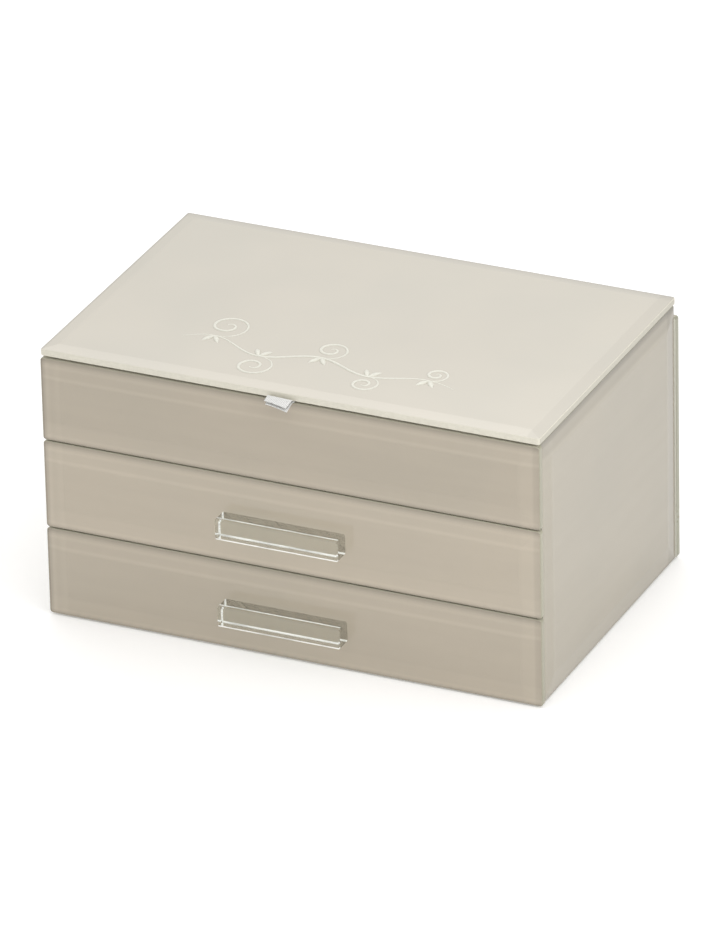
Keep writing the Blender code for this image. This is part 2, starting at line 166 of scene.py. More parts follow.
# Pads
PAD_CELLS = 72
PAD_RIM = 0.0011
PAD_UNEVENNESS = 0.00012
LID_PAD_CROWN = 0.0010

# Ring rolls
ROLL_SIDES = 32
ROLL_RINGS = 72
ROLL_SLACK = 0.0005
ROLL_DOME = 0.0030
ROLL_END = 0.35
ROLL_LEAST_RADIUS = 0.0002
ROLL_DENT = 0.00022
PUCKERS = 7
PUCKER_DEPTH = 0.00030
PUCKER_REACH = 0.007
ROLL_SWELL = 0.0009
SWELL_STEPS = 20

# Ribbon tab
RIBBON_SHEET = 0.00022
RIBBON_RIB = 0.0009
RIBBON_WEFT = RIBBON_RIB / 3
TAB_DROOP = 0.0010
TAB_SKEW = 0.0046
TAB_BEND = 0.22
TAB_RISE = 0.0021
TAB_LOWER_RISE = 0.0010
TAB_STEP = 0.0009
TAB_ASIDE = 0.0009
TAB_CURL = 0.0004
TAB_SELVEDGE = 0.00007
TAB_STEPS = 60
TAB_FOLD_STEPS = 10
TAB_CELLS_ACROSS = 28

# Flourish on the lid
CREAM = (0.74, 0.73, 0.65)
STROKE = 0.0009
STROKE_RISE = 0.0005
STEM_STEPS = 90
STEM_WAVES = 2.5
STEM_SWING = 0.0068
STEM_HALF = 0.077
STEM_Y = 0.040
STEM_SLOPE = 0.006
TENDRILS = 5
TENDRIL_RADIUS = 0.0125
TENDRIL_TURNS = 1.6
TENDRIL_STEPS = 40
LEAF_LENGTH = 0.0085
LEAF_LEANS = (-0.5, 0.6)
LEAF_WIDTH = 1.7
LEAF_STEPS = 8

# Studio. LOBES are azimuth, elevation, tightness and power; LIGHTS are size, watts, azimuth,
# elevation and distance. Angles are in degrees, as direction() takes them.
FLOOR_SIZE = 60
FLOOR_GLOW = 0.17
SKY = 0.8
SKY_COLOUR = (1.0, 0.995, 0.985, 1)
LOBES = (
    (204.8, 50, 24, 1.5),
    (60, 70, 3, 0.35),
)
LIGHTS = {
    "overhead": ((1.4, 1.4), 3, 20, 75, 2.2),
    "near_right": ((0.25, 0.25), 0.33, 60, 40, 0.55),
}

# Camera
CAMERA_AZIMUTH = 24.844
CAMERA_ELEVATION = 26.594
CAMERA_ROLL = math.radians(-1.291)
CAMERA_DISTANCE = 4.7374
CAMERA_TARGET = Vector((-0.0012, -0.0020, 0.0713))
CAMERA_LENS = 355.1


# ---------------------------------------------------------------- node trees


class Graph:
    """A material being made: each call adds one node and gives back what it puts out."""

    def __init__(self, name):
        self.material = bpy.data.materials.new(name)
        self.material.use_nodes = True
        self.tree = self.material.node_tree
        self.shader = self.tree.nodes["Principled BSDF"]
        self.output = self.tree.nodes["Material Output"]

    def feed(self, socket, value):
        if isinstance(value, bpy.types.NodeSocket):
            self.tree.links.new(value, socket)
        else:
            socket.default_value = value

    def node(self, kind, *values, **settings):
        made = self.tree.nodes.new(kind)
        for key, value in settings.items():
            setattr(made, key, value)
        for socket, value in zip(made.inputs, values):
            if value is not None:
                self.feed(socket, value)
        return made

    def maths(self, operation, *values):
        return self.node("ShaderNodeMath", *values, operation=operation).outputs[0]

    def place(self, output="Object"):
        return self.node("ShaderNodeTexCoord").outputs[output]

    def parts(self, vector):
        return self.node("ShaderNodeSeparateXYZ", vector).outputs

    def stretched(self, scale, turn=(0, 0, 0)):
        """The object's own coordinates, times a scale along each axis."""
        return self.node("ShaderNodeMapping", self.place(), None, turn, scale).outputs[0]

    def noise(self, vector, scale, detail=3.0, roughness=0.55):
        made = self.node("ShaderNodeTexNoise", vector)
        made.inputs["Scale"].default_value = scale
        made.inputs["Detail"].default_value = detail
        made.inputs["Roughness"].default_value = roughness
        return made.outputs[0]

    def spread(self, value, low, high, from_low=0.0, from_high=1.0):
        """A value brought from one range to another."""
        made = self.node("ShaderNodeMapRange")
        for name, given in zip(
            ("Value", "From Min", "From Max", "To Min", "To Max"),
            (value, from_low, from_high, low, high),
        ):
            self.feed(made.inputs[name], given)
        return made.outputs[0]

    def ramp(self, factor, stops):
        """Levels or colours at given places from 0 to 1, eased from each to the next."""
        made = self.node("ShaderNodeValToRGB", factor)
        made.color_ramp.interpolation = "EASE"
        points = made.color_ramp.elements
        while len(points) < len(stops):
            points.new(0.5)
        for point, (position, level) in zip(points, stops):
            point.position = position
            point.color = (*level, 1) if isinstance(level, tuple) else (level, level, level, 1)
        return made.outputs[0]

    def mix(self, factor, first, second, blend="MIX"):
        made = self.node("ShaderNodeMix", data_type="RGBA", blend_type=blend)
        for index, value in ((0, factor), (6, first), (7, second)):
            if isinstance(value, tuple) and len(value) == 3:
                value = (*value, 1)
            self.feed(made.inputs[index], value)
        return made.outputs[2]

    def bump(self, height, distance):
        made = self.node("ShaderNodeBump")
        made.inputs["Strength"].default_value = 1.0
        made.inputs["Distance"].default_value = distance
        self.feed(made.inputs["Height"], height)
        self.feed(self.shader.inputs["Normal"], made.outputs[0])

    def finish(self, colour, roughness, **sockets):
        """Sets the surface; each other socket is named with _ for its spaces."""
        if isinstance(colour, tuple):
            colour = (*colour, 1)
        self.feed(self.shader.inputs["Base Color"], colour)
        self.feed(self.shader.inputs["Roughness"], roughness)
        for name, value in sockets.items():
            self.feed(self.shader.inputs[name.replace("_", " ")], value)
        return self.material


def scaled(colour, factor):
    return tuple(channel * factor for channel in colour)


def tinted(colour, tint):
    return tuple(a * b for a, b in zip(colour, tint))


# ---------------------------------------------------------------- materials


def painted_bevel_light(graph, node, place, side, profile):
    """Half the painted highlight and shade along one side's bevel: a ramp can't hold more than 1."""
    axis, sign = side
    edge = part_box(node)[(sign + 1) // 2][axis]
    inwards = graph.maths("MULTIPLY", graph.maths("SUBTRACT", place[axis], edge), -sign)
    reach = profile[-1][0] * MILLIMETRE
    stops = [
        (distance * MILLIMETRE / reach, level**DISPLAY_GAMMA / 2) for distance, level in profile
    ]
    return graph.ramp(graph.spread(inwards, 0, 1, 0, reach), stops)


def painted_glass(node, axis, outward):
    """Glass painted on its back: the paint, the bevels' refracted lines and rim shadows as painted
    light and shade, and satin ground edges, some painted lighter or darker.
    """
    slot = SLOT_OF[node]
    # The pane's paint as lit, times its painted shade
    paint = scaled(PAINT_AS_LIT[slot], PANE_PAINTED_SHADE.get(node, 1))
    graph = Graph(f"{node}_painted_glass")
    place = graph.parts(graph.place())
    face = graph.ramp(
        graph.noise(graph.place(), 14, 2),
        ((0.35, scaled(paint, 0.985)), (0.65, tinted(paint, (1.012, 1.004, 1.0)))),
    )
    # Each bevel's painted highlight and shade, multiplied into the paint
    for side, profile in BEVEL_LIGHT_AND_SHADE[slot].items():
        if side[0] != axis:
            half = painted_bevel_light(graph, node, place, side, profile)
            painted_band = graph.mix(1.0, half, (2.0, 2.0, 2.0), "MULTIPLY")
            face = graph.mix(1.0, face, painted_band, "MULTIPLY")
    streaks = graph.noise(graph.stretched(STREAKS), 1.0, 3)
    face = graph.mix(1.0, face, graph.ramp(streaks, ((0.3, 0.975), (0.7, 1.0))), "MULTIPLY")
    normal = graph.parts(graph.place("Normal"))
    facing = graph.maths("MULTIPLY", normal[axis], outward)
    on_edge = graph.maths("LESS_THAN", facing, 0.9)
    on_back = graph.maths("LESS_THAN", facing, -0.9)
    level = graph.maths("GREATER_THAN", graph.maths("ABSOLUTE", normal[2]), 0.9)
    ends = graph.maths("GREATER_THAN", graph.maths("ABSOLUTE", normal[0]), 0.9)
    ground = graph.noise(graph.stretched(FINE_GRIND), 2.0, 2)
    edge = graph.ramp(ground, ((0.3, scaled(paint, 0.97)), (0.7, scaled(paint, 1.03))))
    if axis == 2:
        # The lid's rims: painted light at the front and back, painted shade at the ends
        tint = graph.mix(ends, LID_RIM_PAINTED_LIGHT, LID_END_RIM_PAINTED_SHADE)
        edge = graph.mix(1.0, edge, tint, "MULTIPLY")
    else:
        # Horizontal edges take the painted light colour, upright ones the glass's green tint
        edge = graph.mix(level, graph.mix(1.0, edge, UPRIGHT_EDGE_TINT, "MULTIPLY"), LEVEL_EDGE_PAINTED_LIGHT)
    smudge = graph.spread(graph.noise(graph.place(), 22, 4), 0.045, 0.085, 0.3, 0.7)
    roughness = graph.maths("MULTIPLY_ADD", on_edge, EDGE_ROUGHNESS, smudge)
    graph.bump(graph.noise(graph.place(), 9, 1), 0.00002)
    # Inner faces take the painted light colour in place of their shade
    colour = graph.mix(on_back, graph.mix(on_edge, face, edge), PANE_BACK_PAINTED_LIGHT)
    return graph.finish(colour, roughness, IOR=GLASS_IOR)


def clear_glass():
    """Clear acrylic: it refracts what is behind it and lets light through to the pane."""
    graph = Graph("clear_bar")
    polish = graph.spread(graph.noise(graph.place(), 120, 3), 0.0, 0.02, 0.3, 0.7)
    graph.finish(CLEAR_TINT, polish, IOR=GLASS_IOR, Transmission_Weight=1.0)
    clear = graph.node("ShaderNodeBsdfTransparent", SHADOW_TINT)
    rays = graph.node("ShaderNodeLightPath").outputs
    passing = graph.maths("MAXIMUM", rays["Is Shadow Ray"], rays["Is Diffuse Ray"])
    both = graph.node("ShaderNodeMixShader", passing, graph.shader.outputs[0], clear.outputs[0])
    graph.feed(graph.output.inputs["Surface"], both.outputs[0])
    return graph.material


def highlight_chamfers():
    """The bar's chosen chamfers, painted white as the highlight where light gathers in the clear bar,
    with a sawn grain.
    """
    graph = Graph("painted_highlight_chamfer")
    sawn = graph.noise(graph.stretched((70, 900, 900)), 1.0, 3)
    tone = graph.ramp(sawn, ((0.35, scaled(CHAMFER_HIGHLIGHT, 0.62)), (0.58, CHAMFER_HIGHLIGHT)))
    graph.bump(sawn, 0.00004)
    return graph.finish(tone, 0.35, IOR=GLASS_IOR)


def velvet():
    """Short pile: a fine stipple, with broad patches where the nap lies another way."""
    graph = Graph("velvet")
    place = graph.place()
    nap = graph.noise(graph.stretched((1.0, 2.2, 1.0), (0.3, 0.2, 0.5)), 26, 3)
    pile = graph.noise(place, 2600, 2, 0.7)
    tone = graph.ramp(
        nap, ((0.30, scaled(VELVET, 0.86)), (0.52, VELVET), (0.72, scaled(VELVET, 1.12)))
    )
    speck = graph.ramp(pile, ((0.25, 0.80), (0.75, 1.12)))
    graph.bump(pile, PILE)
    return graph.finish(
        graph.mix(1.0, tone, speck, "MULTIPLY"),
        0.95,
        Sheen_Weight=0.55,
        Sheen_Roughness=0.4,
        Sheen_Tint=(0.95, 0.88, 0.78, 1),
        Specular_IOR_Level=0.15,
    )


def felt():
    graph = Graph("pressed_felt")
    fibres = graph.noise(graph.stretched((1, 1, 4), (0.5, 0.3, 0.8)), 700, 5, 0.7)
    tone = graph.ramp(fibres, ((0.3, scaled(FELT, 0.6)), (0.7, scaled(FELT, 1.7))))
    graph.bump(fibres, 0.0003)
    return graph.finish(tone, 0.95, Sheen_Weight=0.3, Specular_IOR_Level=0.2)


def lacquered_board():
    """Fibreboard under a thin satin lacquer, with its fibres just showing."""
    graph = Graph("lacquered_fibreboard")
    fibres = graph.noise(graph.stretched((1, 1, 1.5)), 900, 4, 0.65)
    broad = graph.noise(graph.place(), 30, 2)
    tone = graph.ramp(fibres, ((0.3, scaled(LACQUER, 0.90)), (0.7, scaled(LACQUER, 1.06))))
    patches = graph.ramp(broad, ((0.3, 0.97), (0.7, 1.02)))
    graph.bump(fibres, 0.00008)
    roughness = graph.spread(broad, 0.42, 0.52)
    return graph.finish(graph.mix(1.0, tone, patches, "MULTIPLY"), roughness)


def ribbon():
    """White ribbed ribbon: ribs along its length, crossed by a fine weft, with painted shade in the
    dips between the ribs.
    """
    graph = Graph("ribbed_ribbon")
    x, y, _ = graph.parts(graph.place())
    ribs = graph.maths("SINE", graph.maths("MULTIPLY", x, 2 * math.pi / RIBBON_RIB))
    weft = graph.maths("SINE", graph.maths("MULTIPLY", y, 2 * math.pi / RIBBON_WEFT))
    height = graph.maths("MULTIPLY_ADD", weft, 0.25, ribs)
    level = graph.spread(height, 0.0, 1.0, -1.25, 1.25)
    # Painted shade and highlight: the tone darkens in the dips between the ribs and lightens on their
    # crests
    tone = graph.ramp(
        level, ((0.0, scaled(RIBBON, 0.78)), (0.6, RIBBON), (1.0, scaled(RIBBON, 1.06)))
    )
    graph.bump(level, 0.00025)
    return graph.finish(tone, 0.62, Sheen_Weight=0.2, Sheen_Roughness=0.3)


def silvered_mirror():
    graph = Graph("silvered_mirror")
    haze = graph.spread(graph.noise(graph.place(), 18, 4), 0.012, 0.035, 0.35, 0.7)
    broad = graph.noise(graph.place(), 7, 1)
    tone = graph.ramp(broad, ((0.3, (0.86, 0.88, 0.87)), (0.7, (0.90, 0.91, 0.90))))
    return graph.finish(tone, haze, Metallic=1.0)


def nickel():
    """Nickel plate, brushed along the knuckles."""
    graph = Graph("nickel_plate")
    brushed = graph.noise(graph.stretched((40, 2600, 2600)), 1.0, 3, 0.6)
    tone = graph.ramp(brushed, ((0.3, (0.60, 0.58, 0.54)), (0.7, (0.72, 0.70, 0.66))))
    roughness = graph.spread(brushed, 0.22, 0.40)
    graph.bump(brushed, 0.00002)
    return graph.finish(tone, roughness, Metallic=1.0)


def cream_ink():
    """The cream fill of the flourish, a little uneven."""
    graph = Graph("cream_ink")
    grain = graph.noise(graph.place(), 900, 3)
    tone = graph.ramp(grain, ((0.3, scaled(CREAM, 0.95)), (0.7, scaled(CREAM, 1.03))))
    graph.bump(grain, 0.00003)
    return graph.finish(tone, 0.35)


def dress(obj, material):
    """Gives every face of a piece one material."""
    obj.data.materials.clear()
    obj.data.materials.append(material)


# ---------------------------------------------------------------- pieces


def piece(name, mesh, body, slot, material, *replaced):
    """An object that rides on a body and stands for the CAD nodes given, if any."""
    obj = bpy.data.objects.new(name, mesh)
    bpy.context.scene.collection.objects.link(obj)
    mesh.materials.append(material)
    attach(obj, body)
    if replaced:
        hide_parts(*replaced)
    return obj


def round_edges(obj, width):
    modifier = obj.modifiers.new("rounded", "BEVEL")
    modifier.width = width
    modifier.segments = ROUNDING_SEGMENTS
    modifier.limit_method = "ANGLE"
    modifier.harden_normals = True
    obj.data.shade_smooth()


def bar_section(low, high, x, inset):
    """The bar's outline at one place along it, from under its back edge round by the front."""
    front, back = low.y + inset, high.y - inset
    under, top = low.z + inset, high.z - inset
    cut, joint = HANDLE_CHAMFER, HANDLE_JOINT_CHAMFER
    outline = (
        (back - joint, under),
        (front + UNDERCUT.y, under),
        (front, under + UNDERCUT.z),
        (front, top - cut),
        (front + cut, top),
        (back - joint, top),
        (back, top - joint),
        (back, under + joint),
    )
    return [Vector((x, y, z)) for y, z in outline]


def bar_mesh(name, low, high):
    """A clear bar, chamfered all round; its second material, a painted highlight, is on the chosen
    chamfers.
    """
    cut = HANDLE_JOINT_CHAMFER
    stations = ((low.x, cut), (low.x + cut, 0), (high.x - cut, 0), (high.x, cut))
    mesh = bpy.data.meshes.new(name)
    shape = bmesh.new()
    rings = [
        [shape.verts.new(point) for point in bar_section(low, high, *station)]
        for station in stations
    ]
    for part, (near, far) in enumerate(zip(rings, rings[1:])):
        for side in range(len(near)):
            after = (side + 1) % len(near)
            face = shape.faces.new((near[side], near[after], far[after], far[side]))
            face.material_index = int(side in HIGHLIGHTED_SIDES[part])
    shape.faces.new(rings[0])
    shape.faces.new(rings[-1])
    bmesh.ops.recalc_face_normals(shape, faces=shape.faces)
    shape.to_mesh(mesh)
    shape.free()
    return mesh


def make_handles(clear, highlight):
    """Each clear bar is bonded to its pane, so its back runs just into the pane's face."""
    for body, name in (("drawer_upper", "upper"), ("drawer_lower", "lower")):
        low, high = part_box(f"{name}_handle")
        mesh = bar_mesh(f"{name}_handle_bar", low, high + Vector((0, HANDLE_BOND, 0)))
        bar = piece(f"{name}_handle_bar", mesh, body, "clear_glass", clear, f"{name}_handle")
        # The chosen chamfers get the painted highlight
        bar.data.materials.append(highlight)


def grid_mesh(name, across, along, place):
    """A sheet of quads: place(u, v) gives each point, with u and v from 0 to 1."""
    mesh = bpy.data.meshes.new(name)
    shape = bmesh.new()
    rows = [
        [shape.verts.new(place(i / across, j / along)) for i in range(across + 1)]
        for j in range(along + 1)
    ]
    for near, far in zip(rows, rows[1:]):
        for i in range(across):
            shape.faces.new((near[i], near[i + 1], far[i + 1], far[i]))
    bmesh.ops.recalc_face_normals(shape, faces=shape.faces)
    shape.to_mesh(mesh)
    shape.free()
    mesh.shade_smooth()
    return mesh


def cosine(t):
    """Spacing from 0 to 1 that is close at both ends, where a pad's edges turn down."""
    return (1 - math.cos(math.pi * t)) / 2


def grid_rim(cells):
    """The numbers of a square grid's outermost points, in order round it."""
    row, last = cells + 1, cells * (cells + 1)
    near = list(range(cells))
    right = [row * j + cells for j in range(cells)]
    far = [last + i for i in range(cells, 0, -1)]
    left = [row * j for j in range(cells, 0, -1)]
    return near + right + far + left


def pad_height(x, y, low, high, crown, margin):
    """How far a pad's face stands off its flat level: round at the rim, crowned over the margin."""
    rim = min(x - low.x, high.x - x, y - low.y, high.y - y)
    drop = PAD_RIM - math.sqrt(max(0.0, PAD_RIM**2 - max(0.0, PAD_RIM - rim) ** 2))
    swell = crown * math.sin(math.pi * min(1.0, rim / margin)) if margin else 0.0
    unevenness = PAD_UNEVENNESS * noise.noise(Vector((x * 70, y * 70, low.z * 90)))
    return swell + unevenness - drop


def pad_mesh(name, node, upward, crown=0.0, margin=0.0):
    """A thin fabric-covered pad over a node's place, its face up or down and its rim rounded."""
    low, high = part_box(node)
    face, back = (high.z, low.z) if upward else (low.z, high.z)
    sign = 1 if upward else -1

    def place(u, v):
        x = low.x + (high.x - low.x) * cosine(u)
        y = low.y + (high.y - low.y) * cosine(v)
        return Vector((x, y, face + sign * pad_height(x, y, low, high, crown, margin)))

    mesh = grid_mesh(name, PAD_CELLS, PAD_CELLS, place)
    shape = bmesh.new()
    shape.from_mesh(mesh)
    shape.verts.ensure_lookup_table()
    rim = [shape.verts[index] for index in grid_rim(PAD_CELLS)]
    foot = [shape.verts.new((vert.co.x, vert.co.y, back)) for vert in rim]
    for k in range(len(rim)):
        shape.faces.new((rim[k - 1], rim[k], foot[k], foot[k - 1]))
    shape.faces.new(foot)
    bmesh.ops.recalc_face_normals(shape, faces=shape.faces)
    shape.to_mesh(mesh)
    shape.free()
    mesh.shade_smooth()
    return mesh


def make_pads(material):
    """The linings on the tray's and drawers' floors, and the padded one round the lid's mirror."""
    for body, node in (
        ("case", "tray_lining"),
        ("drawer_upper", "upper_lining"),
        ("drawer_lower", "lower_lining"),
    ):
        mesh = pad_mesh(f"{node}_pad", node, True)
        pad = piece(f"{node}_pad", mesh, body, "velvet", material, node)
    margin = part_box("lid_mirror")[0].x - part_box("lid_lining")[0].x
    mesh = pad_mesh("lid_lining_pad", "lid_lining", False, LID_PAD_CROWN, margin)
    pad = piece("lid_lining_pad", mesh, "lid", "velvet", material, "lid_lining")


def roll_mesh(name, low, high, seed):
    """A foam roll in its sleeve before it swells: rings of points round a line along Y."""
    mesh = bpy.data.meshes.new(name)
    shape = bmesh.new()
    centre = (low + high) / 2
    radius = (high.x - low.x) / 2 - ROLL_SLACK
    length = high.y - low.y - 2 * MARGIN
    rings = []
    for j in range(ROLL_RINGS + 1):
        t = cosine(j / ROLL_RINGS)
        y = low.y + MARGIN + length * t
        to_end = min(t, 1 - t) * length
        dome = math.sqrt(1 - max(0.0, 1 - to_end / ROLL_DOME) ** 2)
        depth = PUCKER_DEPTH * math.exp(-to_end / PUCKER_REACH)
        ring = []
        for i in range(ROLL_SIDES):
            angle = 2 * math.pi * i / ROLL_SIDES
            pucker = depth * math.cos(PUCKERS * angle + seed)
            dent = ROLL_DENT * noise.noise(Vector((y * 45, angle * 0.9, seed * 7.3)))
            share = ROLL_END + (1 - ROLL_END) * dome
            size = max(ROLL_LEAST_RADIUS, (radius + pucker + dent) * share)
            point = centre + Vector((size * math.cos(angle), 0, size * math.sin(angle)))
            ring.append(shape.verts.new((point.x, y, point.z)))
        rings.append(ring)
    for near, far in zip(rings, rings[1:]):
        for i in range(ROLL_SIDES):
            after = (i + 1) % ROLL_SIDES
            shape.faces.new((near[i], near[after], far[after], far[i]))
    for ring in (rings[0], rings[-1]):
        cap = shape.faces.new(ring)
        bmesh.ops.poke(shape, faces=[cap])
    bmesh.ops.recalc_face_normals(shape, faces=shape.faces)
    shape.to_mesh(mesh)
    shape.free()
    mesh.shade_smooth()
    return mesh


def swell_rolls(rolls):
    """Lets the sleeves fill under a little pressure, and keeps each inside its own place."""
    for roll, _ in rolls:
        cloth = roll.modifiers.new("sleeve", "CLOTH")
        cloth.settings.quality = 6
        cloth.settings.mass = 0.15
        cloth.settings.use_pressure = True
        cloth.settings.uniform_pressure_force = 4
        cloth.settings.effector_weights.gravity = 0
        cloth.point_cache.frame_end = SWELL_STEPS
    for step in range(1, SWELL_STEPS + 1):
        bpy.context.scene.frame_set(step)
    graph = bpy.context.evaluated_depsgraph_get()
    for roll, node in rolls:
        low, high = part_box(node)
        low, high = low - Vector((MARGIN, 0, 0)), high + Vector((MARGIN, 0, MARGIN))
        swollen = bpy.data.meshes.new_from_object(roll.evaluated_get(graph))
        for vert, start in zip(swollen.vertices, roll.data.vertices):
            moved = vert.co - start.co
            if moved.length > ROLL_SWELL:
                moved = moved * (ROLL_SWELL / moved.length)
            held = start.co + moved
            vert.co = [min(max(held[k], low[k]), high[k]) for k in range(3)]
        roll.modifiers.clear()
        roll.data = swollen
        swollen.shade_smooth()
    bpy.context.scene.frame_set(1)


def make_rolls(material):
    rolls = []
    for number in range(1, 6):
        node = f"ring_roll_{number}"
        name = f"{node}_sleeve"
        roll = piece(name, roll_mesh(name, *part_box(node), number), "case", "velvet", material, node)
        rolls.append((roll, node))
    swell_rolls(rolls)
    for roll, _ in rolls:
        roll.modifiers.new("smooth", "SUBSURF")


def ribbon_path(low, high, beyond_rim):
    """The ribbon's line: in from its upper end, round the fold inside the lid and out again."""
    half = RIBBON_SHEET / 2
    top, under = high.z - half, low.z + half

    def lift(y, rise):
        out = beyond_rim(y)
        return rise * (1 - math.cos(math.pi * min(1.0, out / TAB_BEND))) / 2 - TAB_DROOP * out**1.6

    fold = (top - under) / 2
    end = high.y - fold - half
    tip = low.y + TAB_STEP
    shares = [k / TAB_STEPS for k in range(TAB_STEPS + 1)]
    upper = [(y, top + lift(y, TAB_RISE)) for y in (tip + (end - tip) * t for t in shares)]
    bend = [
        (end + fold * math.sin(angle), (top + under) / 2 + fold * math.cos(angle))
        for angle in (math.pi * k / TAB_FOLD_STEPS for k in range(1, TAB_FOLD_STEPS))
    ]
    lower = [
        (y, under + lift(y, TAB_LOWER_RISE)) for y in (end + (low.y - end) * t for t in shares)
    ]
    return upper + bend + lower


def make_tab(material):
    """The ribbon tab: doubled, folded a little askew, rising past the pane and then drooping."""
    low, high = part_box("pull_tab")
    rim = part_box("lid_pane")[0].y

    def beyond_rim(y):
        """How far out a point is, from 0 at the lid's rim to 1 at the tip."""
        return max(0.0, rim - y) / (rim - low.y)

    path = ribbon_path(low, high, beyond_rim)
    last = len(path) - 1

    def place(u, v):
        at = v * last
        k = min(int(at), last - 1)
        y, z = (path[k][i] + (path[k + 1][i] - path[k][i]) * (at - k) for i in (0, 1))
        out = beyond_rim(y)
        aside = TAB_ASIDE * out if v > 0.5 else 0
        selvedge = TAB_SELVEDGE * (abs(2 * u - 1) ** 8)
        curl = TAB_CURL * out * (2 * u - 1) ** 2
        x = low.x + (high.x - low.x) * u + aside
        return Vector((x, y + TAB_SKEW * (1 - u) * out, z + selvedge - curl))

    mesh = grid_mesh("pull_tab_ribbon", TAB_CELLS_ACROSS, last, place)
    tab = piece("pull_tab_ribbon", mesh, "lid", "ribbon", material, "pull_tab")
    thickness = tab.modifiers.new("ribbon", "SOLIDIFY")
    thickness.thickness = RIBBON_SHEET
    thickness.offset = 0


def sheet_panel(name, corner, across, along, thickness, body, slot, material, *replaced):
    """A flat piece of cloth glued down, a little uneven, with its thickness about its plane."""
    normal = across.cross(along).normalized()

    def place(u, v):
        point = corner + across * u + along * v
        return point + normal * (PANEL_UNEVENNESS * noise.noise(point * 120))

    mesh = grid_mesh(name, *PANEL_CELLS, place)
    panel = piece(name, mesh, body, slot, material, *replaced)
    solid = panel.modifiers.new("cloth", "SOLIDIFY")
    solid.thickness = thickness
    solid.offset = 0
    return panel


def glue_lining(name, corner, along, up, material):
    panel = sheet_panel(name, corner, along, up, WALL_LINING, "case", "velvet", material)


def make_wall_linings(material):
    """Velvet glued to the tray's four walls, down to the lining on its floor."""
    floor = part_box("tray_lining")[1].z
    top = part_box("case_side_left")[1].z - MARGIN
    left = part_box("case_side_left")[1].x
    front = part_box("case_front_rail")[1].y
    inset = WALL_LINING / 2 + GLUE_LINE
    up = Vector((0, 0, top - floor))
    for sign, label, wall in ((-1, "left", "case_side_left"), (1, "right", "case_side_right")):
        corner = Vector((-sign * (left + inset), sign * front, floor))
        along = Vector((0, -2 * sign * front, 0))
        glue_lining(f"tray_wall_{label}", corner, along, up, material)
    for sign, label, wall in ((-1, "front", "case_front_rail"), (1, "back", "case_back")):
        corner = Vector((left, -sign * (front + inset), floor))
        along = Vector((-2 * left, 0, 0))
        glue_lining(f"tray_wall_{label}", corner, along, up, material)


def make_base_felt(material):
    low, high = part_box("base_felt")
    size = high - low
    corner = Vector((low.x, low.y, (low.z + high.z) / 2))
    across, along = Vector((size.x, 0, 0)), Vector((0, size.y, 0))
    sheet = sheet_panel(
        "base_felt_sheet", corner, across, along, size.z - FELT_SLACK,
        "case", "base_felt", material, "base_felt",
    )


# ---------------------------------------------------------------- the flourish on the lid


def spiral(centre, radius, start, turns):
    """Points that wind inwards round a centre; a negative number of turns winds the other way."""
    points = []
    for k in range(TENDRIL_STEPS + 1):
        t = k / TENDRIL_STEPS
        size = radius * (1 - 0.86 * t)
        angle = start + 2 * math.pi * turns * t
        points.append(centre + Vector((math.cos(angle), math.sin(angle))) * size)
    return points


def stroke(curve, points, weights):
    """One pen stroke through flat points, as thick at each as its weight."""
    spline = curve.splines.new("POLY")
    spline.points.add(len(points) - 1)
    for point, at, weight in zip(spline.points, points, weights):
        point.co = (at.x, at.y, 0, 1)
        point.radius = weight


def swelling(count, least=0.25):
    """Pen weights for one stroke: thin at both ends and full in the middle."""
    return [least + (1 - least) * math.sin(math.pi * k / (count - 1)) ** 0.8 for k in range(count)]


def stem_point(t, front):
    """A place along the stem, whose waves flatten towards its right end."""
    x = -STEM_HALF + 2 * STEM_HALF * t
    swing = STEM_SWING * (1 - 0.45 * t) * math.sin(2 * math.pi * STEM_WAVES * t)
    return Vector((x, front + STEM_Y - STEM_SLOPE * t + swing))


def make_flourish(material):
    """A raised vine along the lid's front: a waving stem with tendrils and small leaves."""
    low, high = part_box("lid_pane")
    curve = bpy.data.curves.new("flourish", "CURVE")
    curve.dimensions = "3D"
    curve.bevel_depth = STROKE
    curve.bevel_resolution = 3
    curve.use_fill_caps = True
    stem = [stem_point(k / STEM_STEPS, low.y) for k in range(STEM_STEPS + 1)]
    stroke(curve, stem, swelling(len(stem), 0.2))
    for k in range(TENDRILS):
        side = 1 if k % 2 == 0 else -1
        root = stem_point((k + 0.5) / TENDRILS, low.y)
        size = TENDRIL_RADIUS * (1 - 0.11 * k)
        centre = root + Vector((size * 0.15, side * size))
        tendril = spiral(centre, size, -side * math.pi / 2, side * TENDRIL_TURNS)
        stroke(curve, tendril, swelling(len(tendril), 0.3))
        for lean in LEAF_LEANS:
            away = Vector((math.sin(lean), -side * math.cos(lean)))
            leaf = [root + away * (LEAF_LENGTH * s / LEAF_STEPS) for s in range(LEAF_STEPS + 1)]
            stroke(curve, leaf, [LEAF_WIDTH * weight for weight in swelling(len(leaf), 0.08)])
    traced = bpy.data.objects.new("traced", curve)
    bpy.context.scene.collection.objects.link(traced)
    graph = bpy.context.evaluated_depsgraph_get()
    mesh = bpy.data.meshes.new_from_object(traced.evaluated_get(graph))
    bpy.data.objects.remove(traced)
    flattened = Matrix.Diagonal((1, 1, STROKE_RISE / STROKE, 1))
    mesh.transform(Matrix.Translation((0, 0, high.z)) @ flattened)
    mesh.shade_smooth()
    piece("lid_flourish", mesh, "lid", "lid_glass", material)


# ---------------------------------------------------------------- studio


def make_floor():
    """A pale, slightly back-lit table."""
    bpy.ops.mesh.primitive_plane_add(size=FLOOR_SIZE, location=(0, 0, 0))
    floor = bpy.context.object
    floor.name = "floor"
    graph = Graph("pale_floor")
    cloud = graph.noise(graph.place(), 3, 2)
    tone = graph.ramp(cloud, ((0.3, (0.93, 0.93, 0.93)), (0.7, (0.95, 0.95, 0.95))))
    dress(floor, graph.finish(tone, 0.9, Specular_IOR_Level=0.1, Emission_Strength=FLOOR_GLOW))


